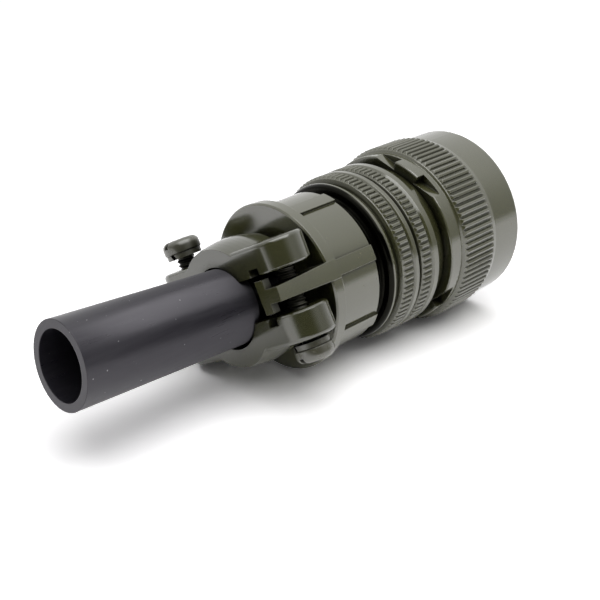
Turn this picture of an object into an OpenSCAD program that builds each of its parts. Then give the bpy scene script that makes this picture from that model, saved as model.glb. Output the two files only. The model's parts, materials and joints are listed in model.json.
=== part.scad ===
// Straight circular bayonet plug with a saddle cable clamp and a rubber cable sleeve.
// The axis lies along X, the mating face is at x = 0 and the cable leaves toward -X.
// A "station" is the distance behind the mating face, in millimetres.

/* [Coupling ring] */
// Diameter over the knurl
knurl_d = 34.6; // [34:0.1:36]
// Diameter of the smooth front band
band_d = 33.4; // [32.8:0.1:34]
// Diameter of the rear rim
rim_d = 32.8; // [32.4:0.1:34.4]
// Length of the ring from front edge to rear rim
ring_len = 20.1; // [19.6:0.1:20.6]
// Length of the smooth front band
band_len = 7.4; // [5.5:0.1:8]
// Length of the rear rim
rim_len = 2.9; // [2.6:0.1:4]
// Knurl ribs round the ring
knurl_ribs = 90; // [72:2:96]
// Height of the knurl ribs
knurl_rise = 0.45; // [0.3:0.05:0.6]
// Depth of the rim notches along the axis
notch_len = 1.9; // [1:0.1:2.4]
// Distance of the notch flats from the axis
notch_flat = 14.6; // [14.2:0.1:15.8]
// Turn of the first notch group, from the horizontal
notch_turn = 108; // [90:1:130]
// Angle that a bayonet pin turns from entry to lock
ramp_turn = 80; // [70:1:90]
// Axial pull of a bayonet ramp
ramp_pull = 4.4; // [3.6:0.1:4.8]
// Width of a ramp along the axis
ramp_w = 3; // [2.6:0.1:3.2]

/* [Shell and insert] */
// Diameter of the plug barrel
barrel_d = 24.8; // [24.4:0.1:25]
// Diameter of the neck that the coupling ring turns on
neck_d = 26; // [25.8:0.1:26.4]
// Running clearance between neck and ring, on the radius
ring_clearance = 0.05; // [0.03:0.01:0.1]
// Diameter of the knurled grip flange
flange_d = 31.7; // [31.2:0.1:33.6]
// Ribs round the grip flange and the endbell
grip_ribs = 88; // [72:2:96]
// Diameter of the shell's rear thread
shell_thread_d = 28; // [27.6:0.1:28.4]
// Sockets on the inner circle
inner_sockets = 3; // [2:1:3]
// Sockets on the outer circle
outer_sockets = 7; // [5:1:7]
// Bore of a socket
socket_bore = 1.6; // [1.4:0.05:1.7]

/* [Endbell and clamp body] */
// Diameter of the endbell's bead
bead_d = 29.8; // [29:0.1:33]
// Diameter of the endbell's rear thread
clamp_thread_d = 25.3; // [25:0.1:25.6]
// Diameter over the clamp body's rear rim
clamp_d = 30.7; // [29.8:0.1:31.4]
// Station of the clamp body's front edge
clamp_front = 37.1; // [36.4:0.1:37.6]
// Length of the clamp body without its arms
clamp_len = 12.1; // [11.2:0.1:12.6]
// Turn of the clamp about the axis, near arm up
clamp_turn = 28; // [0:1:40]
// Width of an arm at its T head
arm_w = 2.5; // [2.2:0.1:3.2]
// Width of an arm at its root
arm_root_w = 3.4; // [2.4:0.1:4]
// Width of an arm's T head
tee_w = 5.8; // [5:0.1:7]

/* [Saddles and screws] */
// Station of the clamp screws
screw_station = 55.9; // [55.4:0.1:56.6]
// Distance of a clamp screw from the axis
screw_offset = 12.8; // [12.2:0.05:13]
// Diameter of the clamp screws
screw_d = 3.5; // [3:0.1:3.6]
// Diameter of a screw head
head_d = 6.8; // [6:0.1:7.2]
// Height of a screw head
head_h = 2.4; // [2:0.1:2.6]
// Thickness of a lock washer
washer_t = 0.9; // [0.6:0.1:1.2]
// Radius of a saddle lug
lug_r = 4.9; // [4.4:0.1:5.4]
// Height of a lug's inner face from the axis
lug_inner = 3.7; // [3.4:0.1:4.2]
// Height of a lug's outer face from the axis
lug_outer = 8.7; // [8:0.1:9]
// Radius of the hump over the sleeve, at its crown
hump_r = 11.3; // [10.6:0.1:11.8]
// Fall of the hump from its crown to its front and rear edge
hump_crown = 0.7; // [0.4:0.1:1.4]
// Gap left under the far screw's washer
far_gap = 2; // [0.2:0.1:2.6]
// Gap left under the near screw's washer
near_gap = 0.6; // [0.2:0.1:2]

/* [Cable sleeve] */
// Outer diameter of the sleeve
sleeve_d = 13.7; // [12.6:0.1:13.8]
// Bore of the sleeve
sleeve_bore = 10.9; // [9.6:0.1:11.2]
// Length of sleeve behind the clamp body
sleeve_tail = 46.2; // [30:0.1:60]
// Angle at which the sleeve's tail leans
sleeve_lean = 6.9; // [0.5:0.1:8]
// Direction of the lean, from the horizontal
lean_turn = 117; // [0:1:180]

/* [Hidden] */
$fn = 96;
knurl_r = knurl_d / 2;
knurl_root = knurl_r - knurl_rise;
band_r = band_d / 2;
rim_r = rim_d / 2;
rim_front = ring_len - rim_len;
rib_sink = 0.04;
knurl_front = band_len + 0.9;
neck_r = neck_d / 2;
web_bore = neck_r + ring_clearance;
barrel_r = barrel_d / 2;
// The mating shell, the ramps and the wall behind them share the room between barrel and ring
ring_room = min(band_r, knurl_root) - barrel_r;
mate_share = 0.465;
ramp_share = 0.256;
mate_room = ring_room * mate_share;
ramp_wall = barrel_r + mate_room;
ramp_depth = ring_room * ramp_share;
ramp_floor = ramp_wall + ramp_depth;
ramp_start = 3.2;
entry_w = 3.4;
ramp_lap = 13;
washer_w = 1.5;
washer_slip = 0.1;
cavity_r = neck_r + washer_w + 4 * washer_slip;
web_t = 3.1;
web_front = ring_len - web_t;
tab_angle = 19.6;
// Stack behind the retaining ring, from front to rear
stack_len = 3.75;
retainer_front = web_front - stack_len;
retainer_t = 1;
retainer_grip = 0.65;
retainer_rise = 1.2;
retainer_gap = 12;
retainer_turn = 250;
washer_thin = 0.6;
seat_gap = 0.05;
front_washer = retainer_front + retainer_t + seat_gap;
spring_front = front_washer + washer_thin;
rear_washer = web_front - washer_thin - seat_gap;
spring_h = rear_washer - spring_front;
spring_t = 0.3;
// Shell stations
barrel_front = 1;
barrel_land = 0.6;
barrel_end = retainer_front - barrel_land;
gasket_t = 1.3;
gasket_share = 0.6;
gasket_w = mate_room * gasket_share;
gasket_slip = 0.3;
gasket_front = barrel_end - gasket_t;
shoulder_front = ring_len + 0.1;
shoulder_rise = 1.4;
flange_gap = 2.7;
flange_band = 2.1;
flange_grip = 2.8;
flange_front = ring_len + flange_gap;
grip_front = flange_front + flange_band;
flange_rear = grip_front + flange_grip;
flange_r = flange_d / 2;
grip_rise = 0.42;
shell_bore = barrel_r - 1.1;
rear_bore = neck_r - 1;
step_back = 2.85;
step_station = barrel_end + step_back;
shell_thread_r = shell_thread_d / 2;
keyway_w = 3;
keyway_depth = 0.7;
// Insert stack
insert_set = 0.8;
insert_flange = 1.7;
grommet_set = 0.6;
insert_front = barrel_front + insert_set;
insert_split = step_station + insert_flange;
grommet_front = flange_front + grommet_set;
grommet_t = 4.3;
grommet_rear = grommet_front + grommet_t;
slip = 0.08;
socket_front = insert_front + insert_set;
grommet_skin = 1.5;
socket_rear = grommet_rear - grommet_skin;
socket_r = 1.3;
socket_shoulder = 1.6;
shoulder_t = 1.15;
wire_r = 1;
inner_circle = 2.9;
socket_edge = 3.3;
outer_circle = shell_bore - socket_edge;
socket_count = inner_sockets + outer_sockets;
// Endbell stations
thread_slip = 0.05;
bell_front = flange_rear + seat_gap;
bell_band = 2;
bell_grip = 2.7;
bell_bead = 2.6;
bell_grip_front = bell_front + bell_band;
bell_grip_rear = bell_grip_front + bell_grip;
bell_rear = bell_grip_rear + bell_bead;
bead_r = bead_d / 2;
bead_round = 1;
bead_groove = 0.6;
bell_wall = 1.7;
bell_r = shell_thread_r + thread_slip + bell_wall;
shell_rear = bell_grip_rear - 0.5;
clamp_thread_r = clamp_thread_d / 2;
bell_bore = clamp_thread_r - 2.25;
// Clamp body
clamp_r = clamp_d / 2;
clamp_rear = clamp_front + clamp_len;
clamp_rim = 2.2;
rim_back = clamp_rear - clamp_rim;
body_drop = 1.15;
body_r = clamp_r - body_drop;
wall_t = 2.4;
rib_rise = 0.5;
rib_angle = 11;
rib_spread = 52.5;
collar_r = clamp_thread_r - 1.05;
collar_t = 2.6;
collar_slip = 0.03;
bell_neck_rear = clamp_rear - wall_t - collar_t - 2 * collar_slip;
// Arms: each has a hole for its screw and a web left on either side
screw_r = screw_d / 2;
arm_slip = 0.25;
arm_web = 0.6;
arm_outer = screw_offset + screw_r + arm_slip + arm_web;
arm_inner = screw_offset - screw_r - arm_slip - arm_web;
// T heads, in slots of the saddles' rear
tee_t = 1.5;
tee_reach = 2.1;
tee_slip = 0.2;
tee_travel = 2.1;
tee_rear = screw_station + lug_r - 0.1;
tee_front = tee_rear - tee_t;
// Saddles and screws
sleeve_r = sleeve_d / 2;
arch_r = sleeve_r + 0.05;
arch_flare = 0.5;
clear_r = screw_r + 0.2;
tapped_r = screw_r + 0.04;
screw_reach = lug_outer - 0.4;
washer_rise = 1.4;
split_w = 0.7;
// Sleeve, bending from the clamp screws on
bend_start = screw_station;
bend_r = 30;
// Reach of a cut that passes right through
through = 100;

olive = [0.36, 0.36, 0.29];
steel = [0.62, 0.62, 0.6];
black = [0.13, 0.13, 0.14];
gold = [0.8, 0.64, 0.3];

// Points on an arc, from angle a to angle b
function arc(c, r, a, b, steps = 5) =
    [for (i = [0:steps]) c + r * [cos(a + (b - a) * i / steps), sin(a + (b - a) * i / steps)]];

// Outline of a ring of straight ribs with rounded crests
function rib_outline(root, tip, count) =
    [for (i = [0:count - 1], p = [[0.06, 0], [0.24, 0.72], [0.5, 1], [0.76, 0.72], [0.94, 0]])
        let (a = 360 * (i + p[0]) / count, r = root + (tip - root) * p[1]) [r * cos(a), r * sin(a)]];

// Points the children's Z axis back along the plug
module lay_back(station = 0) {
    translate([-station, 0, 0]) rotate([0, -90, 0]) children();
}

// A turned piece, from points [radius, station]
module turned(profile) {
    lay_back() rotate_extrude() polygon(profile);
}

// A plain ring between two stations
module ring_between(inner, outer, front, rear) {
    turned([[inner, front], [outer, front], [outer, rear], [inner, rear]]);
}

// A band of straight knurl with bevelled ends, its ribs rooted a hair under the surface
module knurl_band(root, tip, count, front, rear) {
    low = root - rib_sink;
    bevel = tip - low;
    intersection() {
        lay_back(front) linear_extrude(rear - front) polygon(rib_outline(low, tip, count));
        turned([[0, front], [low, front], [tip, front + bevel], [tip, rear - bevel],
            [low, rear], [0, rear]]);
    }
}

// A pie slice about the axis, centred on angle turn
module slice(radius, turn, width, front, rear) {
    half = width / 2;
    rotate([turn, 0, 0]) lay_back(front) linear_extrude(rear - front)
        polygon([[0, 0], [-radius * sin(half), radius * cos(half)], [0, radius / cos(half)],
                 [radius * sin(half), radius * cos(half)]]);
}

// Puts the clamp's arms on Y and its screws on Z, as it is turned on the plug
module clamp_frame() {
    rotate([-clamp_turn, 0, 0]) children();
}

// One bayonet groove: an axial entry, a helical ramp and a round lock pocket
module bayonet_groove() {
    degrees_per_mm = ramp_turn / ramp_pull;
    ramp_span = ramp_pull + ramp_w;
    sector = ramp_w * degrees_per_mm;
    sector_points = concat([for (i = [0:6]) (ramp_wall - 0.3) * [cos(sector * i / 6), sin(sector * i / 6)]],
                           [for (i = [6:-1:0]) ramp_floor * [cos(sector * i / 6), sin(sector * i / 6)]]);
    lay_back(-0.1) linear_extrude(ramp_start + 0.1)
        translate([ramp_wall - 0.3, -entry_w / 2]) square([ramp_depth + 0.35, entry_w]);
    intersection() {
        lay_back(ramp_start - ramp_w / 2)
            linear_extrude(ramp_span, twist = -ramp_span * degrees_per_mm, slices = 14, $fn = 16)
            rotate(-sector) polygon(sector_points);
        rotate([-ramp_turn / 2, 0, 0]) rotate([90, 0, 0])
            slice(knurl_r, 0, ramp_turn + ramp_lap, 0, ring_len);
    }
    rotate([-ramp_turn, 0, 0]) translate([-ramp_start - ramp_pull, 0, 0])
        cylinder(r = ramp_w / 2 + 0.1, h = ramp_floor + 0.05);
}

// Three notch groups at the rim's rear, each a flat with a tab left standing
module rim_notches() {
    for (i = [0:2]) rotate([notch_turn + 120 * i, 0, 0])
        difference() {
            translate([-ring_len - 1, notch_flat, -rim_r]) cube([notch_len + 1, rim_r, rim_d]);
            slice(rim_d, 0, tab_angle, 0, ring_len + 2);
        }
}

// Coupling ring, olive-plated aluminium, turned and knurled
module coupling_ring() {
    nose = min(0.8, (band_r - ramp_wall) * 0.4);
    mouth = min(0.9, (band_r - ramp_wall) * 0.4);
    color(olive) difference() {
        union() {
            turned(concat([[ramp_wall + mouth, 0]], arc([band_r - nose, nose], nose, -90, 0),
                [[band_r, band_len], [knurl_root, knurl_front], [knurl_root, rim_front - 0.3],
                 [rim_r, rim_front]],
                arc([rim_r - 0.3, ring_len - 0.3], 0.3, 0, 90, 3),
                [[web_bore, ring_len], [web_bore, web_front], [cavity_r, web_front],
                 [cavity_r, gasket_front - gasket_slip], [ramp_wall, gasket_front - 3 * gasket_slip],
                 [ramp_wall, mouth]]));
            difference() {
                knurl_band(knurl_root, knurl_r, knurl_ribs, knurl_front + 0.05, rim_front - 0.35);
                ring_between(0, max(cavity_r + 0.1, knurl_root - 0.4), 0, ring_len);
            }
        }
        for (i = [0:2]) rotate([120 * i, 0, 0]) bayonet_groove();
        rim_notches();
    }
}

// Plug shell: barrel, neck, knurled grip flange and rear thread in one piece
module plug_shell() {
    grip_root = flange_r - grip_rise;
    groove_r = neck_r - retainer_grip - seat_gap;
    ease = min(0.6, grip_root - shell_thread_r);
    color(olive) difference() {
        union() {
            turned([[shell_bore, barrel_front], [barrel_r - 0.3, barrel_front],
                [barrel_r, barrel_front + 0.3],
                [barrel_r, barrel_end], [neck_r, barrel_end], [neck_r, retainer_front - 0.05],
                [groove_r, retainer_front - 0.05], [groove_r, retainer_front + retainer_t],
                [neck_r, retainer_front + retainer_t], [neck_r, shoulder_front],
                [neck_r + shoulder_rise, shoulder_front], [neck_r + shoulder_rise, flange_front],
                [flange_r - 0.4, flange_front], [flange_r, flange_front + 0.4], [flange_r, grip_front - 0.5],
                [grip_root, grip_front], [grip_root, flange_rear - 0.3], [grip_root - ease, flange_rear],
                [shell_thread_r, flange_rear], [shell_thread_r, shell_rear - 0.4],
                [shell_thread_r - 0.4, shell_rear], [rear_bore, shell_rear], [rear_bore, step_station],
                [shell_bore, step_station]]);
            difference() {
                knurl_band(grip_root, flange_r, grip_ribs, grip_front - 0.2, flange_rear - 0.35);
                ring_between(0, grip_root - 0.5, 0, shell_rear);
            }
        }
        // Master keyway along the barrel
        translate([-gasket_front + 0.1, -keyway_w / 2, barrel_r - keyway_depth])
            cube([barrel_end, keyway_w, barrel_r]);
    }
}

// Face gasket, rubber, round the foot of the barrel
module face_gasket() {
    inner = barrel_r + 0.02;
    color(black) ring_between(inner, inner + gasket_w, gasket_front, barrel_end);
}

// Retaining ring, spring steel, open at one side
module retaining_ring() {
    color(steel) difference() {
        ring_between(neck_r - retainer_grip, neck_r + retainer_rise,
            retainer_front, retainer_front + retainer_t);
        slice(neck_d, retainer_turn, retainer_gap, 0, ring_len);
    }
}

// A thrust washer, steel, loose on the neck
module thrust_washer(front) {
    inner = neck_r + washer_slip;
    color(steel) ring_between(inner, inner + washer_w, front, front + washer_thin);
}

module front_thrust_washer() {
    thrust_washer(front_washer);
}

module rear_thrust_washer() {
    thrust_washer(rear_washer);
}

// Wave spring, a thin ring with three waves, touching a washer at every crest
module wave_spring() {
    steps = 60;
    t = spring_t;
    inner = neck_r + 1.5 * washer_slip;
    outer = neck_r + washer_w;
    mid = (spring_front + rear_washer) / 2;
    swing = (spring_h - t) / 2;
    points = [for (i = [0:steps - 1], c = [[inner, -t / 2], [outer, -t / 2], [outer, t / 2], [inner, t / 2]])
        let (a = 360 * i / steps) [-(mid + swing * cos(3 * a) + c[1]), c[0] * cos(a), c[0] * sin(a)]];
    faces = [for (i = [0:steps - 1], k = [0:3])
        let (n = (i + 1) % steps, m = (k + 1) % 4)
            each [[4 * i + k, 4 * n + k, 4 * n + m], [4 * i + k, 4 * n + m, 4 * i + m]]];
    color(steel) polyhedron(points, faces);
}

// Place of socket i: an inner and an outer circle
function socket_place(i) = i <= inner_sockets
    ? inner_circle * [cos(360 * i / inner_sockets + 90), sin(360 * i / inner_sockets + 90)]
    : outer_circle * [cos(360 * (i - inner_sockets) / outer_sockets + 90),
                      sin(360 * (i - inner_sockets) / outer_sockets + 90)];

module at_socket(i) {
    p = socket_place(i);
    translate([0, p[0], p[1]]) children();
}

// Through holes for the sockets, of one radius
module socket_holes(radius, front, rear) {
    for (i = [1:socket_count]) at_socket(i) ring_between(0, radius, front, rear);
}

// Front insert, hard moulding with a flange that seats on the shell's step
module front_insert() {
    color(black) difference() {
        turned([[0, insert_front], [shell_bore - slip - 0.3, insert_front],
            [shell_bore - slip, insert_front + 0.3],
            [shell_bore - slip, step_station + 0.05], [rear_bore - slip, step_station + 0.05],
            [rear_bore - slip, insert_split], [0, insert_split]]);
        socket_holes(socket_r + 0.05, insert_front - 1, insert_split + 1);
        socket_holes(socket_shoulder + 0.05, insert_split - shoulder_t - seat_gap, insert_split + 1);
        socket_holes(wire_r, insert_front - 1, insert_front + 0.6);
    }
}

// Rear insert, hard moulding that traps the sockets' shoulders
module rear_insert() {
    color(black) difference() {
        ring_between(0, rear_bore - slip, insert_split, grommet_front);
        socket_holes(socket_r + 0.05, insert_split - 1, grommet_front + 1);
    }
}

// Grommet, rubber, with one wire hole behind each socket
module grommet() {
    color([0.3, 0.3, 0.31]) difference() {
        ring_between(0, rear_bore - slip, grommet_front, grommet_rear);
        socket_holes(socket_r + 0.02, grommet_front - 1, socket_rear + 0.05);
        socket_holes(wire_r, grommet_front - 1, grommet_rear + 1);
    }
}

// Grommet follower, a plastic ring that the endbell pushes against the grommet
module grommet_follower() {
    color([0.55, 0.53, 0.46]) ring_between(rear_bore - 1.6, rear_bore - slip, grommet_rear, shell_rear);
}

// One socket contact: split hood at the front, shoulder, crimp barrel at the rear
module socket_contact(i) {
    hood = 6;
    slit = 0.3;
    crimp = 5;
    crimp_r = 0.9;
    color(gold) at_socket(i) difference() {
        turned([[0, socket_front + hood], [socket_bore / 2, socket_front + hood],
            [socket_bore / 2, socket_front],
            [socket_r - 0.2, socket_front], [socket_r, socket_front + 0.2],
            [socket_r, insert_split - shoulder_t],
            [socket_shoulder, insert_split - shoulder_t], [socket_shoulder, insert_split],
            [socket_r, insert_split],
            [socket_r, socket_rear], [crimp_r, socket_rear], [crimp_r, socket_rear - crimp],
            [0, socket_rear - crimp]]);
        translate([-socket_front - hood + 1, -slit / 2, -socket_r]) cube([hood, slit, 2 * socket_r]);
    }
}

// Endbell, knurled ring with a bead and a threaded neck for the clamp body
module endbell() {
    grip_root = bell_r - grip_rise;
    bore = shell_thread_r + thread_slip;
    seat = shell_rear + seat_gap;
    ease = bell_wall * 0.5;
    bead_mid = bell_rear - bead_round - 0.1;
    color(olive) union() {
        turned(concat([[bore, bell_front], [bell_r - ease, bell_front], [bell_r, bell_front + 0.75],
            [bell_r, bell_grip_front - 0.4], [grip_root, bell_grip_front], [grip_root, bell_grip_rear],
            [bead_r - bead_groove, bell_grip_rear + 0.35]],
            arc([bead_r - bead_round, bead_mid], bead_round, -60, 90, 8),
            [[clamp_thread_r + 0.6, bell_rear], [clamp_thread_r, bell_rear + 0.4],
             [clamp_thread_r, bell_neck_rear - 0.4], [clamp_thread_r - 0.4, bell_neck_rear],
             [bell_bore, bell_neck_rear], [bell_bore, seat], [bore, seat]]));
        difference() {
            knurl_band(grip_root, bell_r, grip_ribs, bell_grip_front - 0.2, bell_grip_rear - 0.05);
            ring_between(0, grip_root - 0.5, 0, bell_rear);
        }
    }
}

// An arm of the clamp body on +Y, tapering to its T head
module clamp_arm() {
    run = tee_rear - rim_back;
    difference() {
        intersection() {
            union() {
                lay_back(rim_back) rotate([-90, 0, 0]) translate([0, 0, arm_inner])
                    linear_extrude(arm_outer - arm_inner)
                        polygon([[-arm_root_w / 2, 0], [arm_root_w / 2, 0],
                                 [arm_w / 2, -run], [-arm_w / 2, -run]]);
                translate([-tee_rear, arm_inner, -tee_w / 2]) cube([tee_t, tee_reach, tee_w]);
            }
            ring_between(0, arm_outer, clamp_front, tee_rear);
        }
        translate([-screw_station, screw_offset, -tee_w]) cylinder(r = screw_r + arm_slip, h = 2 * tee_w);
    }
}

// Clamp body, a ribbed cup with a raised rear rim and two T-headed arms
module clamp_body() {
    thread_bore = clamp_thread_r + thread_slip;
    color(olive) clamp_frame() {
        turned(concat([[clamp_thread_r + 0.4, clamp_front], [body_r - 0.4, clamp_front],
            [body_r, clamp_front + 0.4]],
            arc([clamp_r, rim_back - body_drop], body_drop, 180, 90, 4),
            [[clamp_r, clamp_rear - 0.3], [clamp_r - 0.3, clamp_rear], [sleeve_r + 0.3, clamp_rear],
             [sleeve_r + 0.3, clamp_rear - wall_t], [collar_r + 0.3, clamp_rear - wall_t],
             [collar_r + 0.3, bell_neck_rear + 0.15], [thread_bore, bell_neck_rear + 0.15],
             [thread_bore, clamp_front + 0.35]]));
        for (side = [0, 180], spread = [-rib_spread, 0, rib_spread])
            intersection() {
                turned([[body_r - 0.5, clamp_front + 0.3], [body_r + rib_rise - 0.2, clamp_front + 0.3],
                    [body_r + rib_rise, clamp_front + 0.5], [body_r + rib_rise, rim_back + 0.5],
                    [body_r - 0.5, rim_back + 0.5]]);
                slice(clamp_d, side + spread, rib_angle, 0, clamp_rear);
            }
        for (side = [0, 180]) rotate([side, 0, 0]) clamp_arm();
    }
}

// Outer half of a lug's or strap's edge, from inner to outer face, eased at the top
function lug_edge(ease = 0.7) = concat([[lug_r - 0.3, lug_inner], [lug_r, lug_inner + 0.3]],
    arc([lug_r - ease, lug_outer - ease], ease, 0, 90));

// A saddle: strap with a crowned hump over the sleeve and two round lugs, one clear and one tapped
module saddle() {
    front = screw_station - lug_r;
    rear = screw_station + lug_r;
    edge = lug_edge();
    crown_r = (lug_r * lug_r + hump_crown * hump_crown) / (2 * hump_crown);
    crown_half = asin(lug_r / crown_r);
    slot_w = tee_reach + 2 * tee_slip;
    difference() {
        union() {
            for (side = [-1, 1]) translate([-screw_station, side * screw_offset, 0])
                rotate_extrude() polygon(concat([[0, lug_inner]], edge, [[0, lug_outer]]));
            translate([-screw_station, screw_offset, 0]) rotate([90, 0, 0]) linear_extrude(2 * screw_offset)
                polygon(concat(edge, [for (i = [len(edge) - 1:-1:0]) [-edge[i][0], edge[i][1]]]));
            intersection() {
                turned(concat([[0, front]],
                    arc([hump_r - crown_r, screw_station], crown_r, -crown_half, crown_half, 10),
                    [[0, rear]]));
                translate([-rear, -hump_r, lug_inner]) cube([2 * lug_r, 2 * hump_r, hump_r]);
            }
        }
        turned([[0, front - 1], [arch_r + 1, front - 1], [arch_r, front + 0.6], [arch_r, screw_station],
            [arch_r + arch_flare * (lug_r + 1) / lug_r, rear + 1], [0, rear + 1]]);
        for (side = [-1, 1]) translate([-rear - 1, side * (arm_inner + tee_reach / 2) - slot_w / 2, 0])
            cube([rear - tee_front + tee_slip + 1, slot_w, tee_w / 2 + tee_travel]);
        translate([-screw_station, screw_offset, 0]) cylinder(r = clear_r, h = through);
        translate([-screw_station, -screw_offset, 0]) cylinder(r = tapped_r, h = through);
    }
}

module upper_saddle() {
    color(olive) clamp_frame() saddle();
}

module lower_saddle() {
    color(olive) clamp_frame() rotate([180, 0, 0]) saddle();
}

// A clamp screw on +Y, head up, standing off its lug by gap
module clamp_screw(gap) {
    seat = lug_outer + gap + washer_t;
    slot_w = 0.95;
    slot_depth = 1.1;
    head_r = head_d / 2;
    translate([-screw_station, screw_offset, 0]) difference() {
        rotate_extrude() polygon(concat([[0, -screw_reach], [screw_r - 0.4, -screw_reach],
            [screw_r, -screw_reach + 0.4], [screw_r, seat], [head_r - 0.2, seat], [head_r, seat + 0.2]],
            arc([head_r - 1.2, seat + head_h - 1.2], 1.2, 0, 90), [[0, seat + head_h + 0.1]]));
        translate([-head_d, -slot_w / 2, seat + head_h - slot_depth]) cube([2 * head_d, slot_w, 3]);
        translate([-slot_w / 2, -head_d * 0.27, seat + head_h - slot_depth]) cube([slot_w, head_d * 0.54, 3]);
    }
}

module far_screw() {
    color(olive) clamp_frame() clamp_screw(far_gap);
}

module near_screw() {
    color(olive) clamp_frame() rotate([180, 0, 0]) clamp_screw(near_gap);
}

// A split lock washer under a screw head
module lock_washer(gap) {
    translate([-screw_station, screw_offset, lug_outer + gap]) difference() {
        cylinder(r = screw_r + washer_rise, h = washer_t);
        translate([0, 0, -1]) cylinder(r = screw_r + 0.1, h = washer_t + 2);
        rotate([0, 0, 200]) rotate([25, 0, 0]) translate([0, -split_w / 2, -washer_t])
            cube([2 * screw_d, split_w, 4 * washer_t]);
    }
}

module far_lock_washer() {
    color(steel) clamp_frame() lock_washer(far_gap);
}

module near_lock_washer() {
    color(steel) clamp_frame() rotate([180, 0, 0]) lock_washer(near_gap);
}

// The sleeve's path as a solid rod: straight, a short bend a hair fuller, then the leaning tail
module sleeve_run(radius, front, tail) {
    lap = 0.3;
    ring_between(0, radius, front, bend_start);
    rotate([lean_turn, 0, 0]) translate([-bend_start, bend_r, 0]) {
        rotate([0, 0, -90 - sleeve_lean - lap]) rotate_extrude(angle = sleeve_lean + 2 * lap)
            translate([bend_r, 0]) circle(radius + 0.02);
        rotate([0, 0, -sleeve_lean]) translate([0, -bend_r, 0]) rotate([0, -90, 0])
            cylinder(r = radius, h = tail);
    }
}

// Cable sleeve, rubber tube with a collar trapped in the clamp body
module cable_sleeve() {
    tail = sleeve_tail - (bend_start - clamp_rear) - bend_r * sin(sleeve_lean);
    color(black) difference() {
        union() {
            ring_between(0, collar_r, bell_neck_rear + collar_slip, clamp_rear - wall_t - collar_slip);
            sleeve_run(sleeve_r, bell_neck_rear + collar_slip, tail);
        }
        sleeve_run(sleeve_bore / 2, bell_neck_rear - 1, tail + 1);
    }
}

coupling_ring();
plug_shell();
face_gasket();
retaining_ring();
front_thrust_washer();
wave_spring();
rear_thrust_washer();
front_insert();
rear_insert();
grommet();
grommet_follower();
endbell();
clamp_body();
upper_saddle();
lower_saddle();
far_screw();
near_screw();
far_lock_washer();
near_lock_washer();
cable_sleeve();
for (i = [1:socket_count])
    socket_contact(i);
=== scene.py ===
import json
import math

import bmesh
import bpy
from mathutils import Matrix, Vector

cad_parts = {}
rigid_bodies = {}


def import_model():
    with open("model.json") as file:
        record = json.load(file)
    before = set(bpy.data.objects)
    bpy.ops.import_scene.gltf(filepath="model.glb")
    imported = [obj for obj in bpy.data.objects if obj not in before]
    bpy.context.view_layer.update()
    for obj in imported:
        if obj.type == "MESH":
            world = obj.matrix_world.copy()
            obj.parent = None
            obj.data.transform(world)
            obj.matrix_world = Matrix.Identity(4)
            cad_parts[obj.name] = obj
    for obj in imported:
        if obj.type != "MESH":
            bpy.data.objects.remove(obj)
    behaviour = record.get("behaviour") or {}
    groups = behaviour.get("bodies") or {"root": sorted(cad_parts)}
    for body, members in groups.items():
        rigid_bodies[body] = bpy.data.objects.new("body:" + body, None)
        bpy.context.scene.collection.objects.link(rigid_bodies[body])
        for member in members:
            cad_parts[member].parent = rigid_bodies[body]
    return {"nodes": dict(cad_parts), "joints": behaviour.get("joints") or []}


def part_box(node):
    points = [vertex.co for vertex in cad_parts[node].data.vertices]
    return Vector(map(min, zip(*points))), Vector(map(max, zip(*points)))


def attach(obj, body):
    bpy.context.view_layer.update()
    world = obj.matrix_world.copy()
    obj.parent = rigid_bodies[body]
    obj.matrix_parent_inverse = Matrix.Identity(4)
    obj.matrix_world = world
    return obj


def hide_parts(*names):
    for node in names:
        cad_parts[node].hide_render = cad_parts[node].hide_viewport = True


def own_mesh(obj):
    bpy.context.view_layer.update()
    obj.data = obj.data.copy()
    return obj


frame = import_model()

# The bare plug: the start-up cube, lamp and camera leave the scene. Lengths below are in metres.
for leftover in ("Cube", "Light", "Camera"):
    if leftover in bpy.data.objects:
        bpy.data.objects.remove(bpy.data.objects[leftover])
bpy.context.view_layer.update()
nodes = frame["nodes"]
mm = 0.001


# Plug shell: one turned aluminium piece with barrel, neck, knurled grip flange and rear thread.
# It carries a semi-gloss olive-drab plating, rubbed a little on its edges and darker in its grooves from dirt
# and painted shade.
def add(tree, kind, feeds=None, **settings):
    """Adds a node, sets its options, and feeds its inputs with numbers, colours or other sockets."""
    node = tree.nodes.new(kind)
    for option, value in settings.items():
        setattr(node, option, value)
    for key, value in (feeds or {}).items():
        if isinstance(value, bpy.types.NodeSocket):
            tree.links.new(value, node.inputs[key])
        else:
            node.inputs[key].default_value = value
    return node


def tint(tree, factor, low, high):
    """Mixes two colours by a factor and gives the colour's socket."""
    factor_in, low_in, high_in, colour_out = 0, 6, 7, 2
    node = add(tree, "ShaderNodeMix", data_type="RGBA")
    for key, value in ((factor_in, factor), (low_in, low), (high_in, high)):
        if isinstance(value, bpy.types.NodeSocket):
            tree.links.new(value, node.inputs[key])
        else:
            node.inputs[key].default_value = value
    return node.outputs[colour_out]


def spread(tree, value, low, high, to_low=0.0, to_high=1.0):
    """Stretches a value from one span to another, held at the ends."""
    return add(tree, "ShaderNodeMapRange", {"Value": value, "From Min": low, "From Max": high,
                                            "To Min": to_low, "To Max": to_high}).outputs["Result"]


def calc(tree, operation, first, second):
    """Works one sum on two values and gives the result's socket."""
    return add(tree, "ShaderNodeMath", {0: first, 1: second}, operation=operation).outputs[0]


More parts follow.
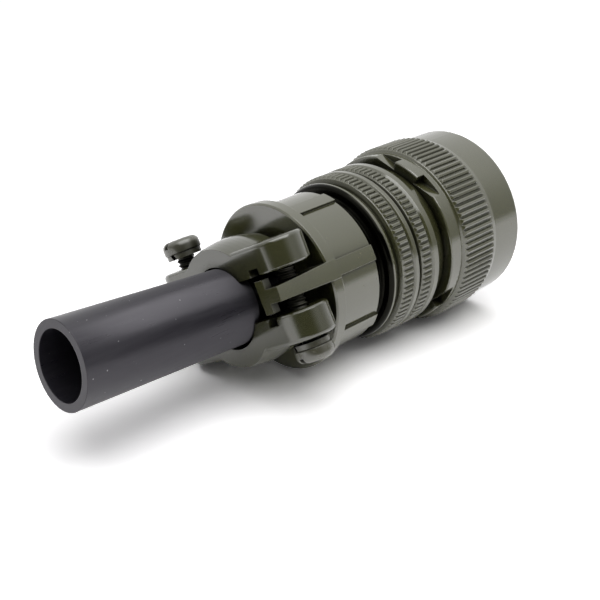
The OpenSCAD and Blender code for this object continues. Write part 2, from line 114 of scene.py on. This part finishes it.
def new_group(name, inputs, outputs):
    """An empty shader group; inputs are (name, value) pairs and outputs are (name, kind) pairs."""
    group = bpy.data.node_groups.new(name, "ShaderNodeTree")
    for label, value in inputs:
        socket = group.interface.new_socket(label, in_out="INPUT", socket_type="NodeSocketFloat")
        socket.default_value = value
    for label, kind in outputs:
        group.interface.new_socket(label, in_out="OUTPUT", socket_type=kind)
    return group, group.nodes.new("NodeGroupInput").outputs, group.nodes.new("NodeGroupOutput").inputs


def edge_rub_group():
    """Finds the edges, breaks them up as handling does, and gives a normal with the edges eased."""
    group, given, gives = new_group("edge rub", [("Ease radius", 0.15 * mm), ("Break-up scale", 900.0)],
                                    [("Rub", "NodeSocketFloat"), ("Normal", "NodeSocketVector")])
    eased = add(group, "ShaderNodeBevel", {"Radius": given["Ease radius"]}, samples=6).outputs["Normal"]
    facing = add(group, "ShaderNodeNewGeometry").outputs["Normal"]
    match = add(group, "ShaderNodeVectorMath", {0: eased, 1: facing}, operation="DOT_PRODUCT")
    edge = spread(group, match.outputs["Value"], 0.995, 0.86)
    where = add(group, "ShaderNodeTexCoord").outputs["Object"]
    patches = add(group, "ShaderNodeTexNoise",
                  {"Vector": where, "Scale": given["Break-up scale"], "Detail": 4.0}).outputs["Fac"]
    broken = spread(group, patches, 0.38, 0.62)
    open_air = add(group, "ShaderNodeAmbientOcclusion", {"Distance": 1.5 * mm}, samples=6).outputs["AO"]
    group.links.new(calc(group, "MULTIPLY", calc(group, "MULTIPLY", edge, broken), open_air), gives["Rub"])
    group.links.new(eased, gives["Normal"])
    return group


def fine_film_group():
    """Cloudy shade, gloss and grain of a thin film, with sparse specks, on the piece's own coordinates."""
    scales = [("Cloud scale", 70.0), ("Grain scale", 3500.0), ("Speck scale", 900.0)]
    masks = [(label, "NodeSocketFloat") for label in ("Cloud", "Grain", "Speck")]
    group, given, gives = new_group("fine film", scales, masks)
    where = add(group, "ShaderNodeTexCoord").outputs["Object"]
    cloud = add(group, "ShaderNodeTexNoise",
                {"Vector": where, "Scale": given["Cloud scale"], "Detail": 5.0,
                 "Roughness": 0.6}).outputs["Fac"]
    grain = add(group, "ShaderNodeTexNoise",
                {"Vector": where, "Scale": given["Grain scale"], "Detail": 3.0}).outputs["Fac"]
    cells = add(group, "ShaderNodeTexVoronoi",
                {"Vector": where, "Scale": given["Speck scale"]}).outputs["Distance"]
    scatter = add(group, "ShaderNodeTexNoise",
                  {"Vector": where, "Scale": given["Speck scale"], "Detail": 1.0}).outputs["Fac"]
    speck = calc(group, "MULTIPLY", spread(group, cells, 0.16, 0.08), spread(group, scatter, 0.62, 0.7))
    group.links.new(spread(group, cloud, 0.3, 0.7), gives["Cloud"])
    group.links.new(grain, gives["Grain"])
    group.links.new(speck, gives["Speck"])
    return group


def groove_dirt_and_shade_group():
    """How deep a spot lies between its neighbours, from 0 in the open to 1 in a groove: a mask for dirt and
    painted shade in grooves and recesses.
    """
    group, given, gives = new_group("groove dirt and shade", [("Reach", 3.5 * mm)], [("Dirt and shade", "NodeSocketFloat")])
    open_air = add(group, "ShaderNodeAmbientOcclusion", {"Distance": given["Reach"]}, samples=8).outputs["AO"]
    group.links.new(spread(group, open_air, 0.82, 0.35), gives["Dirt and shade"])
    return group


edge_rub = edge_rub_group()
fine_film = fine_film_group()
groove_dirt_and_shade = groove_dirt_and_shade_group()


def new_material(name):
    """A material with its Principled shader, and the node tree to build on."""
    material = bpy.data.materials.new(name)
    material.use_nodes = True
    tree = material.node_tree
    return material, tree, tree.nodes["Principled BSDF"]


def use_group(tree, group, **values):
    """Puts a shader group in a tree, sets the named inputs and gives its outputs."""
    node = add(tree, "ShaderNodeGroup", node_tree=group)
    for label, value in values.items():
        node.inputs[label.replace("_", " ")].default_value = value
    return node.outputs


def finish_with(name, fresh, aged, rubbed, dirt_and_shade_tone, gloss, cloud_scale=70.0, ease=0.15 * mm, reach=3.5 * mm,
                metal=0.0, shade_painted_behind=None):
    """A plated, moulded or bare finish: two cloudy colours, rubbed edges, fine grain, and dirt with painted
    shade in grooves.
    Metallic rises with that dirt and shade, so that a groove stays dark without reflections, as painted
    shade.
    Everything behind a given station is painted as dark as a groove: painted shade."""
    material, tree, shader = new_material(name)
    film = use_group(tree, fine_film, Cloud_scale=cloud_scale)
    edges = use_group(tree, edge_rub, Ease_radius=ease)
    dirt_and_shade = use_group(tree, groove_dirt_and_shade, Reach=reach)
    colour = tint(tree, film["Cloud"], fresh, aged)
    colour = tint(tree, calc(tree, "MULTIPLY", film["Speck"], 0.5), colour, rubbed)
    colour = tint(tree, calc(tree, "MULTIPLY", edges["Rub"], 0.5), colour, rubbed)
    # Dirt and painted shade in grooves and recesses darken the colour and raise Metallic to take out
    # reflections there.
    grime_and_shade = calc(tree, "MULTIPLY", dirt_and_shade["Dirt and shade"], 0.9)
    # Behind the given station the colour is painted black, with no reflection: painted shade.
    if shade_painted_behind is not None:
        soft_edge = 0.1 * mm
        spot = add(tree, "ShaderNodeTexCoord").outputs["Object"]
        station = add(tree, "ShaderNodeSeparateXYZ", {0: spot}).outputs["X"]
        behind = spread(tree, station, shade_painted_behind + soft_edge, shade_painted_behind - soft_edge)
        grime_and_shade = calc(tree, "MAXIMUM", grime_and_shade, behind)
    tree.links.new(tint(tree, grime_and_shade, colour, dirt_and_shade_tone), shader.inputs["Base Color"])
    tree.links.new(spread(tree, grime_and_shade, 0.0, 1.0, metal, 0.95), shader.inputs["Metallic"])
    rough = spread(tree, film["Cloud"], 0.0, 1.0, gloss, gloss + 0.05)
    rough = calc(tree, "ADD", rough, calc(tree, "MULTIPLY", dirt_and_shade["Dirt and shade"], 0.2))
    tree.links.new(rough, shader.inputs["Roughness"])
    grain = add(tree, "ShaderNodeBump", {"Strength": 0.4, "Distance": 0.004 * mm, "Height": film["Grain"],
                                         "Normal": edges["Normal"]}).outputs["Normal"]
    tree.links.new(grain, shader.inputs["Normal"])
    return material, shader


olive = {"fresh": (0.056, 0.057, 0.021, 1), "aged": (0.046, 0.047, 0.016, 1),
         "rubbed": (0.16, 0.155, 0.10, 1), "dirt_and_shade_tone": (0.004, 0.004, 0.002, 1), "gloss": 0.12}
olive_ior = 2.0
plating, plating_shader = finish_with("olive plating", **olive)
plating_shader.inputs["IOR"].default_value = olive_ior
nodes["plug_shell"].data.materials[0] = plating


# Insert stack: two hard moulded inserts hold ten gilt sockets, a rubber grommet seals the wires
# behind them, and a moulded ring presses on the grommet. All of it slides into the shell from the rear.
moulding, _ = finish_with("insert moulding", (0.028, 0.028, 0.030, 1), (0.020, 0.020, 0.022, 1),
                          (0.07, 0.07, 0.072, 1), (0.008, 0.008, 0.008, 1), gloss=0.48, cloud_scale=180.0)
ring_moulding, _ = finish_with("follower moulding", (0.40, 0.37, 0.28, 1), (0.34, 0.32, 0.24, 1),
                               (0.5, 0.47, 0.38, 1), (0.1, 0.09, 0.06, 1), gloss=0.5, cloud_scale=180.0)
soft_rubber, _ = finish_with("grommet rubber", (0.060, 0.060, 0.062, 1), (0.045, 0.045, 0.047, 1),
                             (0.1, 0.1, 0.1, 1), (0.012, 0.012, 0.012, 1), gloss=0.72, cloud_scale=260.0)
gilt, _ = finish_with("gilt contact", (0.83, 0.60, 0.24, 1), (0.76, 0.53, 0.20, 1),
                      (0.9, 0.72, 0.4, 1), (0.25, 0.16, 0.05, 1), gloss=0.24, cloud_scale=900.0,
                      ease=0.05 * mm, metal=1.0)
for name in ("front_insert", "rear_insert"):
    nodes[name].data.materials[0] = moulding
for name in ("grommet", "face_gasket"):
    nodes[name].data.materials[0] = soft_rubber
nodes["grommet_follower"].data.materials[0] = ring_moulding
for name in [name for name in nodes if name.startswith("socket_")]:
    nodes[name].data.materials[0] = gilt


# Coupling ring: turned and knurled aluminium in the same plating, free to turn on the shell's neck.
# A retaining ring, two thrust washers and a wave spring of bright steel hold and load it. The spring
# is a smooth copy of its solid, set on the body that carries the ring's pull.
bright_steel, _ = finish_with("spring steel", (0.55, 0.54, 0.52, 1), (0.47, 0.46, 0.44, 1),
                              (0.66, 0.65, 0.63, 1), (0.12, 0.11, 0.09, 1), gloss=0.3, cloud_scale=300.0,
                              metal=1.0)
nodes["coupling_ring"].data.materials[0] = plating
for name in ("retaining_ring", "front_thrust_washer", "rear_thrust_washer"):
    nodes[name].data.materials[0] = bright_steel


def copy_of(node_name, piece_name, material):
    """A merged, smooth copy of a solid that the scene may bend; the solid itself stays as it is."""
    sharp_from = math.radians(14)
    shape = bmesh.new()
    shape.from_mesh(nodes[node_name].data)
    bmesh.ops.remove_doubles(shape, verts=shape.verts, dist=0.001 * mm)
    mesh = bpy.data.meshes.new(piece_name)
    shape.to_mesh(mesh)
    shape.free()
    mesh.materials.append(material)
    mesh.shade_smooth()
    mesh.set_sharp_from_angle(angle=sharp_from)
    piece = bpy.data.objects.new(piece_name, mesh)
    bpy.context.scene.collection.objects.link(piece)
    return piece


ring_pull = next(joint for joint in frame["joints"] if joint["name"] == "ring_pull")
pressed_spring = copy_of("wave_spring", "pressed_wave_spring", bright_steel)
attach(pressed_spring, ring_pull["parent"])
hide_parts("wave_spring")
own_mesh(pressed_spring)


# Endbell, clamp body and saddles: plated castings. The endbell screws on the shell, the clamp body
# on the endbell, and the two saddles slide between the clamp body's arms. The endbell is painted black from
# a relief's width before the clamp body, as painted shade where the photo shows a wider gap than the solids
# have.
clamp_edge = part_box("clamp_body")[1].x
relief_w = 2.9 * mm
bell_plating_painted_shade, bell_shader = finish_with("endbell plating", **olive, shade_painted_behind=clamp_edge + relief_w)
bell_shader.inputs["IOR"].default_value = olive_ior
nodes["endbell"].data.materials[0] = bell_plating_painted_shade
nodes["clamp_body"].data.materials[0] = plating
# The saddles take a darker copy of the olive plating, which paints the shade on their faces.
shaded_saddle_plating, saddle_shader = finish_with("saddle plating", (0.036, 0.037, 0.013, 1),
                                            (0.028, 0.029, 0.009, 1), (0.15, 0.145, 0.09, 1),
                                            (0.003, 0.003, 0.002, 1), gloss=0.14, reach=2.5 * mm)
saddle_shader.inputs["IOR"].default_value = 1.9
for name in ("upper_saddle", "lower_saddle"):
    nodes[name].data.materials[0] = shaded_saddle_plating


# Clamp screws: two slotted pan heads set in opposite directions, each on a split lock washer.
# They are steel in an olive plating; the rolled threads show between the saddles and under the far head.
head_r = 3.38 * mm
head_h = 2.4 * mm
head_round = 1.2 * mm
head_foot_bevel = 0.2 * mm
crown_r = 0.9 * mm
crown_h = 0.07 * mm
peak_h = 0.09 * mm
core_r = 1.42 * mm
thread_r = 1.75 * mm
thread_pitch = 0.794 * mm
plain_neck = 1.0 * mm
neck_bevel = 0.3 * mm
tip_bevel = 0.35 * mm
thread_tip_gap = 0.5 * mm
thread_neck_gap = 0.1 * mm
slot_w = 0.95 * mm
slot_depth = 1.1 * mm
cross_half = 1.84 * mm
edge_ease = 0.07 * mm

# The screws' groove mask reaches 9 mm, so threads in the gaps between saddles and under the heads are painted
# near black: painted shade.
screw_plating, screw_shader = finish_with("screw plating", (0.060, 0.059, 0.034, 1),
                                          (0.042, 0.041, 0.024, 1), (0.22, 0.21, 0.16, 1),
                                          (0.006, 0.006, 0.003, 1), gloss=0.25, cloud_scale=500.0,
                                          ease=0.08 * mm, reach=9.0 * mm)
screw_shader.inputs["IOR"].default_value = 1.9


def thread_tree():
    """Geometry Nodes tree that winds a thread's ridge round a turned screw blank."""
    tree = bpy.data.node_groups.new("screw thread", "GeometryNodeTree")
    tree.interface.new_socket("Blank", in_out="INPUT", socket_type="NodeSocketGeometry")
    for label in ("Core radius", "Thread radius", "Pitch", "Start", "Length"):
        tree.interface.new_socket(label, in_out="INPUT", socket_type="NodeSocketFloat")
    tree.interface.new_socket("Finish", in_out="INPUT", socket_type="NodeSocketMaterial")
    tree.interface.new_socket("Screw", in_out="OUTPUT", socket_type="NodeSocketGeometry")
    given = tree.nodes.new("NodeGroupInput").outputs
    path = add(tree, "GeometryNodeCurveSpiral",
               {"Resolution": 32, "Rotations": calc(tree, "DIVIDE", given["Length"], given["Pitch"]),
                "Start Radius": given["Core radius"], "End Radius": given["Core radius"],
                "Height": given["Length"]})
    path = add(tree, "GeometryNodeSetCurveNormal", {"Curve": path.outputs[0]}, mode="Z_UP")
    ridge_height = calc(tree, "SUBTRACT", given["Thread radius"], given["Core radius"])
    ridge_half_width = calc(tree, "MULTIPLY", given["Pitch"], 0.46)
    flanks = add(tree, "ShaderNodeCombineXYZ", {"X": ridge_height, "Y": ridge_half_width, "Z": 1.0})
    diamond = add(tree, "GeometryNodeCurvePrimitiveCircle", {"Resolution": 4, "Radius": 1.0})
    diamond = add(tree, "GeometryNodeTransform", {"Geometry": diamond.outputs[0], "Scale": flanks.outputs[0]})
    ridge = add(tree, "GeometryNodeCurveToMesh",
                {"Curve": path.outputs[0], "Profile Curve": diamond.outputs[0], "Fill Caps": True})
    rise = add(tree, "ShaderNodeCombineXYZ", {"Z": given["Start"]})
    ridge = add(tree, "GeometryNodeTransform", {"Geometry": ridge.outputs[0], "Translation": rise.outputs[0]})
    whole = add(tree, "GeometryNodeJoinGeometry", {"Geometry": given["Blank"]})
    tree.links.new(ridge.outputs[0], whole.inputs["Geometry"])
    whole = add(tree, "GeometryNodeRealizeInstances", {"Geometry": whole.outputs[0]})
    whole = add(tree, "GeometryNodeSetMaterial", {"Geometry": whole.outputs[0], "Material": given["Finish"]})
    tree.links.new(whole.outputs[0], tree.nodes.new("NodeGroupOutput").inputs["Screw"])
    return tree


def set_input(modifier, label, value):
    """Sets a Geometry Nodes modifier's input by its socket's identifier."""
    sockets = {item.name: item.identifier for item in modifier.node_group.interface.items_tree}
    modifier[sockets[label]] = value


def plain_mesh(piece):
    """The piece's mesh with its modifiers worked in and taken off."""
    evaluated = piece.evaluated_get(bpy.context.evaluated_depsgraph_get())
    mesh = bpy.data.meshes.new_from_object(evaluated)
    piece.modifiers.clear()
    return mesh


def turned_blank(name, outline, steps=64):
    """A solid of revolution about Z from (radius, height) points that start and end on the axis."""
    shape = bmesh.new()
    turns = [2 * math.pi * step / steps for step in range(steps)]
    rings = [[shape.verts.new((radius * math.cos(turn), radius * math.sin(turn), height)) for turn in turns]
             for radius, height in outline[1:-1]]
    for lower, upper in zip(rings, rings[1:]):
        for step in range(steps):
            shape.faces.new((lower[step - 1], lower[step], upper[step], upper[step - 1]))
    foot = shape.verts.new((0, 0, outline[0][1]))
    crown = shape.verts.new((0, 0, outline[-1][1]))
    for step in range(steps):
        shape.faces.new((rings[0][step], rings[0][step - 1], foot))
        shape.faces.new((rings[-1][step - 1], rings[-1][step], crown))
    mesh = bpy.data.meshes.new(name)
    shape.to_mesh(mesh)
    shape.free()
    piece = bpy.data.objects.new(name, mesh)
    bpy.context.scene.collection.objects.link(piece)
    return piece


def slot_cutter(half_length, floor):
    """A block that cuts a slot along X down to a floor."""
    tall = 3 * mm
    shape = bmesh.new()
    bmesh.ops.create_cube(shape, size=1.0)
    block = Matrix.Diagonal((2 * half_length, slot_w, tall, 1))
    shape.transform(Matrix.Translation((0, 0, floor + tall / 2)) @ block)
    mesh = bpy.data.meshes.new("slot cutter")
    shape.to_mesh(mesh)
    shape.free()
    cutter = bpy.data.objects.new("slot_cutter", mesh)
    bpy.context.scene.collection.objects.link(cutter)
    return cutter


def cut(piece, cutter):
    """Takes the cutter's shape out of the piece and removes the cutter."""
    taken = piece.modifiers.new("cut", "BOOLEAN")
    taken.operation = "DIFFERENCE"
    taken.solver = "EXACT"
    taken.object = cutter
    piece.data = plain_mesh(piece)
    bpy.data.objects.remove(cutter)


def clamp_screw(side, thread):
    """The screw that replaces a side's plain solid: turned blank, two slots, eased edges, wound thread."""
    joint = next(joint for joint in frame["joints"] if joint["name"] == side + "_screw_turn")
    axis = Vector(joint["axis"]).normalized()
    place = Vector(joint["pos_m"])
    tip = min(axis.dot(vertex.co - place) for vertex in nodes[side + "_screw"].data.vertices)
    seat = max(axis.dot(vertex.co - place) for vertex in nodes[side + "_lock_washer"].data.vertices)
    top = seat + head_h
    outline = [(0, tip), (core_r - tip_bevel, tip), (core_r, tip + tip_bevel),
               (core_r, seat - plain_neck), (thread_r, seat - plain_neck + neck_bevel), (thread_r, seat),
               (head_r - head_foot_bevel, seat), (head_r, seat + head_foot_bevel)]
    round_steps = 8
    for step in range(round_steps + 1):
        angle = math.radians(90) * step / round_steps
        inward = head_round * (1 - math.cos(angle))
        outline.append((head_r - inward, top - head_round * (1 - math.sin(angle))))
    outline += [(crown_r, top + crown_h), (0, top + peak_h)]
    screw = turned_blank(side + "_clamp_screw", outline)
    cut(screw, slot_cutter(2 * head_r, top - slot_depth))
    cross = slot_cutter(cross_half, top - slot_depth)
    cross.data.transform(Matrix.Rotation(math.radians(90), 4, "Z"))
    cut(screw, cross)
    eased = screw.modifiers.new("eased edges", "BEVEL")
    eased.width = edge_ease
    eased.segments = 2
    eased.angle_limit = math.radians(40)
    thread_start = tip + thread_tip_gap
    thread_len = seat - plain_neck - thread_neck_gap - thread_start
    wound = screw.modifiers.new("thread", "NODES")
    wound.node_group = thread
    for label, value in (("Core radius", core_r), ("Thread radius", thread_r), ("Pitch", thread_pitch),
                         ("Start", thread_start), ("Length", thread_len), ("Finish", screw_plating)):
        set_input(wound, label, value)
    screw.data = plain_mesh(screw)
    across = Vector((1, 0, 0))
    upright = Matrix((across, axis.cross(across), axis)).transposed().to_4x4()
    screw.data.transform(Matrix.Translation(place) @ upright)
    screw.data.shade_smooth()
    screw.data.set_sharp_from_angle(angle=math.radians(32))
    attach(screw, side + "_fastener")
    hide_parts(side + "_screw")


screw_thread = thread_tree()
for side in ("far", "near"):
    clamp_screw(side, screw_thread)
    nodes[side + "_lock_washer"].data.materials[0] = screw_plating


# Cable sleeve: an extruded tube of satin black rubber with a collar held inside the clamp body.
# Fine draw lines run along it, and a little dust clings to it. Its free end is pressed slightly oval.
def sleeve_rubber():
    """Satin black rubber with draw lines along the sleeve, dust specks, and dirt with painted shade in its
    bore and where it meets the saddles.
    """
    material, tree, shader = new_material("sleeve rubber")
    film = use_group(tree, fine_film, Cloud_scale=120.0, Grain_scale=6000.0, Speck_scale=1000.0)
    edges = use_group(tree, edge_rub, Ease_radius=0.2 * mm)
    dirt_and_shade = use_group(tree, groove_dirt_and_shade, Reach=8.0 * mm)
    where = add(tree, "ShaderNodeTexCoord").outputs["Object"]
    drawn = add(tree, "ShaderNodeMapping", {"Vector": where, "Scale": (40.0, 1600.0, 1600.0)})
    lines = add(tree, "ShaderNodeTexNoise",
                {"Vector": drawn.outputs["Vector"], "Scale": 1.0, "Detail": 3.0}).outputs["Fac"]
    colour = tint(tree, film["Cloud"], (0.017, 0.016, 0.020, 1), (0.013, 0.012, 0.016, 1))
    colour = tint(tree, spread(tree, lines, 0.45, 0.75, 0.0, 0.3), colour, (0.028, 0.027, 0.031, 1))
    colour = tint(tree, calc(tree, "MULTIPLY", film["Speck"], 0.8), colour, (0.30, 0.29, 0.30, 1))
    # Dirt and painted shade darken the deep spots, also near the saddles, and Metallic takes out their
    # reflection.
    colour = tint(tree, dirt_and_shade["Dirt and shade"], colour, (0.001, 0.001, 0.001, 1))
    tree.links.new(calc(tree, "MULTIPLY", dirt_and_shade["Dirt and shade"], 0.8), shader.inputs["Metallic"])
    tree.links.new(colour, shader.inputs["Base Color"])
    tree.links.new(spread(tree, lines, 0.3, 0.7, 0.27, 0.36), shader.inputs["Roughness"])
    shader.inputs["Specular Tint"].default_value = (1.0, 0.97, 1.04, 1)
    grain = add(tree, "ShaderNodeBump", {"Strength": 0.2, "Distance": 0.01 * mm, "Height": lines,
                                         "Normal": edges["Normal"]}).outputs["Normal"]
    tree.links.new(grain, shader.inputs["Normal"])
    return material


# The bend is the solid's own. The end's long way, and how oval it is, were judged from the photo.
bend_start = -55.9 * mm
bend_r = 30 * mm
lean = math.radians(6.9)
lean_turn = math.radians(117)
lean_way = Vector((0, math.cos(lean_turn), math.sin(lean_turn)))
tail_way = Vector((-math.cos(lean), 0, 0)) + lean_way * math.sin(lean)
tail_start = Vector((bend_start - bend_r * math.sin(lean), 0, 0)) + lean_way * (bend_r * (1 - math.cos(lean)))
tall_way = Vector((0.087, 0.289, 0.953))
tall_way = (tall_way - tail_way * tall_way.dot(tail_way)).normalized()
wide_way = tail_way.cross(tall_way)
taller = 0.075
narrower = 0.045
sag = 0.28 * mm
shrink = 0.004

sleeve = copy_of("cable_sleeve", "oval_cable_sleeve", sleeve_rubber())
tail_len = max(tail_way.dot(vertex.co - tail_start) for vertex in sleeve.data.vertices)
for vertex in sleeve.data.vertices:
    along_tail = tail_way.dot(vertex.co - tail_start)
    if along_tail > 0:
        share = along_tail / tail_len
        share = share * share * (3 - 2 * share)
        off_axis = vertex.co - tail_start - tail_way * along_tail
        up_part = tall_way.dot(off_axis) * (1 + taller * share) - sag * share
        side_part = wide_way.dot(off_axis) * (1 - narrower * share)
        vertex.co = (tail_start + tail_way * (along_tail * (1 - shrink * share))
                     + tall_way * up_part + wide_way * side_part)
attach(sleeve, "plug")
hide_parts("cable_sleeve")


# Table: a plain white paper sheet under the plug. The plug rests on its knurl and on the lower saddle,
# so the sheet is tilted to touch both. Where it is seen, also in a reflection, the paper has a brighter
# white, and further off it fades into the backdrop.
floor_half = 3.0
fade_start = 0.2
fade_end = 0.5
ring_spots = [vertex.co for vertex in nodes["coupling_ring"].data.vertices]
knurl_foot = min(ring_spots, key=lambda spot: (round(spot.z, 5), spot.x))
floor_tilt = min(math.atan2(vertex.co.z - knurl_foot.z, knurl_foot.x - vertex.co.x)
                 for vertex in nodes["lower_saddle"].data.vertices)
floor_up = Vector((math.sin(floor_tilt), 0, math.cos(floor_tilt)))
rest_depth = min(floor_up.dot(vertex.co) for node in nodes.values() for vertex in node.data.vertices)
across = Vector((0, 1, 0))
along = across.cross(floor_up)
corners = [floor_up * rest_depth + along * (a * floor_half) + across * (b * floor_half)
           for a, b in ((-1, -1), (1, -1), (1, 1), (-1, 1))]
sheet = bpy.data.meshes.new("table sheet")
sheet.from_pydata([tuple(corner) for corner in corners], [], [(0, 1, 2, 3)])
table = bpy.data.objects.new("table_sheet", sheet)
bpy.context.scene.collection.objects.link(table)
paper, paper_tree, paper_shader = new_material("white paper")
paper_film = use_group(paper_tree, fine_film, Cloud_scale=8.0, Grain_scale=4000.0)
paper_white = tint(paper_tree, paper_film["Cloud"], (0.93, 0.93, 0.935, 1), (0.92, 0.92, 0.925, 1))
shown_white = tint(paper_tree, paper_film["Cloud"], (1.42, 1.41, 1.42, 1), (1.40, 1.39, 1.40, 1))
paper_rays = add(paper_tree, "ShaderNodeLightPath").outputs
paper_seen = calc(paper_tree, "MAXIMUM", paper_rays["Is Camera Ray"], paper_rays["Is Glossy Ray"])
paper_seen = calc(paper_tree, "MAXIMUM", paper_seen, paper_rays["Is Transmission Ray"])
paper_colour = tint(paper_tree, paper_seen, paper_white, shown_white)
paper_tree.links.new(paper_colour, paper_shader.inputs["Base Color"])
paper_shader.inputs["Roughness"].default_value = 0.9
paper_shader.inputs["Specular IOR Level"].default_value = 0.1
paper_spot = add(paper_tree, "ShaderNodeTexCoord").outputs["Object"]
far_off = add(paper_tree, "ShaderNodeVectorMath", {0: paper_spot}, operation="LENGTH").outputs["Value"]
fade = calc(paper_tree, "MULTIPLY", spread(paper_tree, far_off, fade_start, fade_end), paper_seen)
white = add(paper_tree, "ShaderNodeEmission", {"Color": (1.0, 1.0, 1.0, 1), "Strength": 1.0}).outputs[0]
faded = add(paper_tree, "ShaderNodeMixShader", {0: fade, 1: paper_shader.outputs[0], 2: white}).outputs[0]
paper_tree.links.new(faded, paper_tree.nodes["Material Output"].inputs["Surface"])
sheet.materials.append(paper)


# Studio: one large softbox over the plug and an even haze light it. Reflections show a soft room that is
# bright above and on the far side and dark behind the camera. The camera sees a white backdrop.
far_side = Vector((0.683, 0.730, 0.0))
camera_side = Vector((-0.62, -0.65, 0.43)).normalized()
world = bpy.data.worlds.new("studio")
bpy.context.scene.world = world
world.use_nodes = True
sky = world.node_tree
sky.nodes.clear()
toward = add(sky, "ShaderNodeTexCoord").outputs["Generated"]
height = add(sky, "ShaderNodeSeparateXYZ", {0: toward}).outputs["Z"]
dome = add(sky, "ShaderNodeValToRGB", {"Fac": height})
steps = ((0.0, 0.40), (0.26, 0.50), (0.42, 0.62), (0.57, 0.85), (0.72, 1.0), (1.0, 1.1))
while len(dome.color_ramp.elements) < len(steps):
    dome.color_ramp.elements.new(0.5)
for element, (position, level) in zip(dome.color_ramp.elements, steps):
    element.position = position
    element.color = (level, level, level, 1)


def turned_to(side):
    """How far a direction of the sky is turned to a side, from -1 to 1."""
    turned = add(sky, "ShaderNodeVectorMath", {0: toward, 1: tuple(side)}, operation="DOT_PRODUCT")
    return turned.outputs["Value"]


room = tint(sky, spread(sky, turned_to(far_side), 0.0, 0.6), dome.outputs["Color"], (1.2, 1.2, 1.2, 1))
room = tint(sky, spread(sky, turned_to(camera_side), 0.5, 0.85), room, (0.06, 0.06, 0.06, 1))
rays = add(sky, "ShaderNodeLightPath").outputs
clear_rays = calc(sky, "MAXIMUM", rays["Is Camera Ray"], rays["Is Transmission Ray"])
shown = tint(sky, clear_rays, room, (1.0, 1.0, 1.0, 1))
backdrop = add(sky, "ShaderNodeBackground", {"Color": shown, "Strength": 1.0}).outputs[0]
light = add(sky, "ShaderNodeBackground", {"Color": (0.30, 0.30, 0.30, 1), "Strength": 1.0}).outputs[0]
seen = calc(sky, "MAXIMUM", clear_rays, rays["Is Glossy Ray"])
dome_mix = add(sky, "ShaderNodeMixShader", {0: seen, 1: light, 2: backdrop}).outputs[0]
add(sky, "ShaderNodeOutputWorld", {"Surface": dome_mix})

softbox = bpy.data.lights.new("softbox", "AREA")
softbox.shape = "RECTANGLE"
softbox.size = 1.30
softbox.size_y = 1.20
softbox.energy = 12.5
softbox_rig = bpy.data.objects.new("softbox", softbox)
softbox_rig.location = (-0.10, -0.28, 1.00)
softbox_aim = Vector((-0.04, 0, 0)) - softbox_rig.location
softbox_rig.rotation_euler = softbox_aim.to_track_quat("-Z", "Y").to_euler()
bpy.context.scene.collection.objects.link(softbox_rig)


# Camera: behind and above the sleeve's end, about where the photograph was taken from.
# Its place, turn and lens were fitted to the round edges of the rings and of the sleeve.
camera_place = Vector((-0.172975, -0.136409, 0.086494))
camera_right = Vector((0.71472, -0.69884, -0.02819))
camera_up = Vector((0.32263, 0.29367, 0.89982))
camera = bpy.data.cameras.new("camera")
camera.sensor_width = 36.0
camera.lens = 69.21
camera.clip_start = 0.01
camera_rig = bpy.data.objects.new("camera", camera)
turn = Matrix((camera_right, camera_up, camera_right.cross(camera_up))).transposed().to_4x4()
camera_rig.matrix_world = Matrix.Translation(camera_place) @ turn
bpy.context.scene.collection.objects.link(camera_rig)
bpy.context.scene.camera = camera_rig
bpy.context.scene.view_settings.view_transform = "Standard"
